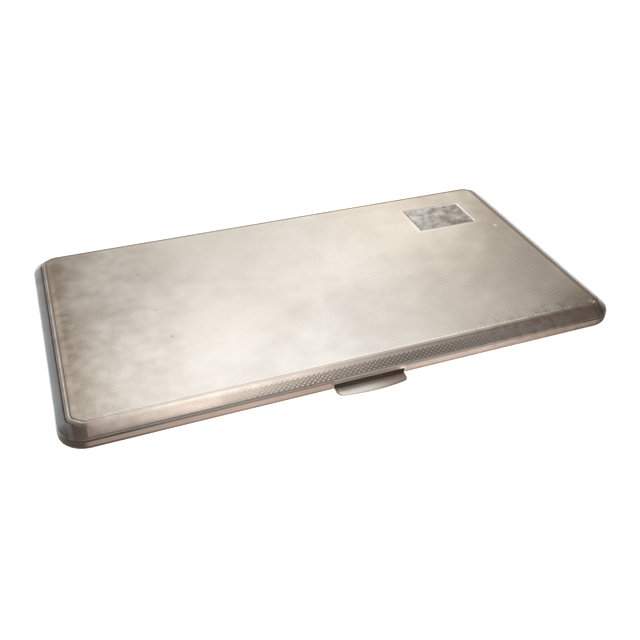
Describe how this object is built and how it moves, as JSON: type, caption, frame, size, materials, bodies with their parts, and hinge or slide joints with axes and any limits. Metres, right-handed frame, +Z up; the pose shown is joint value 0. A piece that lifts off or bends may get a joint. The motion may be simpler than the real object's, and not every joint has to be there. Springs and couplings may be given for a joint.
{
  "type": "cigarette case",
  "caption": "Slim hinged pocket case in engine-turned silver with bevelled edges, a sprung thumb catch, barrel hinge and an elastic strap inside.",
  "frame": {"origin": "middle of the flat underside of the base shell", "axes": "+X along the long side, +Z up through the lid, -Y to the front, where the thumb piece is"},
  "size_m": [0.152, 0.0861, 0.0072],
  "materials": {
    "turned_silver": "worn silver, engine-turned with a lozenge pattern on the flats and long bevels, plain on the beads and rims, gilt inside",
    "plain_silver": "plain worn silver",
    "gilt": "satin gilt silver",
    "steel": "bright drawn steel",
    "elastic": "ribbed woven elastic, old gold"
  },
  "bodies": {
    "base": {"base_shell": "turned_silver", "hinge_pin": "steel", "catch_spring": "steel", "catch_guard": "gilt", "elastic_strap": "elastic", "spring_lug_left": "gilt", "closing_strip_front_left": "gilt", "closing_strip_left": "gilt", "strap_staple_left": "gilt", "spring_lug_right": "gilt", "closing_strip_front_right": "gilt", "closing_strip_right": "gilt", "strap_staple_right": "gilt", "base_knuckle_1": "plain_silver", "base_knuckle_2": "plain_silver", "base_knuckle_3": "plain_silver", "base_knuckle_4": "plain_silver", "base_knuckle_5": "plain_silver"},
    "lid": {"lid_shell": "turned_silver", "cartouche_plate": "plain_silver", "catch_keeper": "gilt", "lid_knuckle_1": "plain_silver", "lid_knuckle_2": "plain_silver", "lid_knuckle_3": "plain_silver", "lid_knuckle_4": "plain_silver"},
    "catch": {"thumb_piece": "plain_silver", "catch_slide": "gilt", "catch_rivet_left": "steel", "catch_rivet_right": "steel"}
  },
  "joints": [
    {"name": "lid_hinge", "type": "hinge", "parent": "base", "child": "lid", "pos_m": [0, 0.04065, 0.0036], "axis": [-1, 0, 0], "range_deg": [0, 180]},
    {"name": "catch_press", "type": "slide", "parent": "base", "child": "catch", "axis": [0, 1, 0], "range_m": [0, 0.0012], "stiffness_N_per_m": 1200, "springref_m": -0.0008, "deforming": ["catch_spring"]}
  ]
}
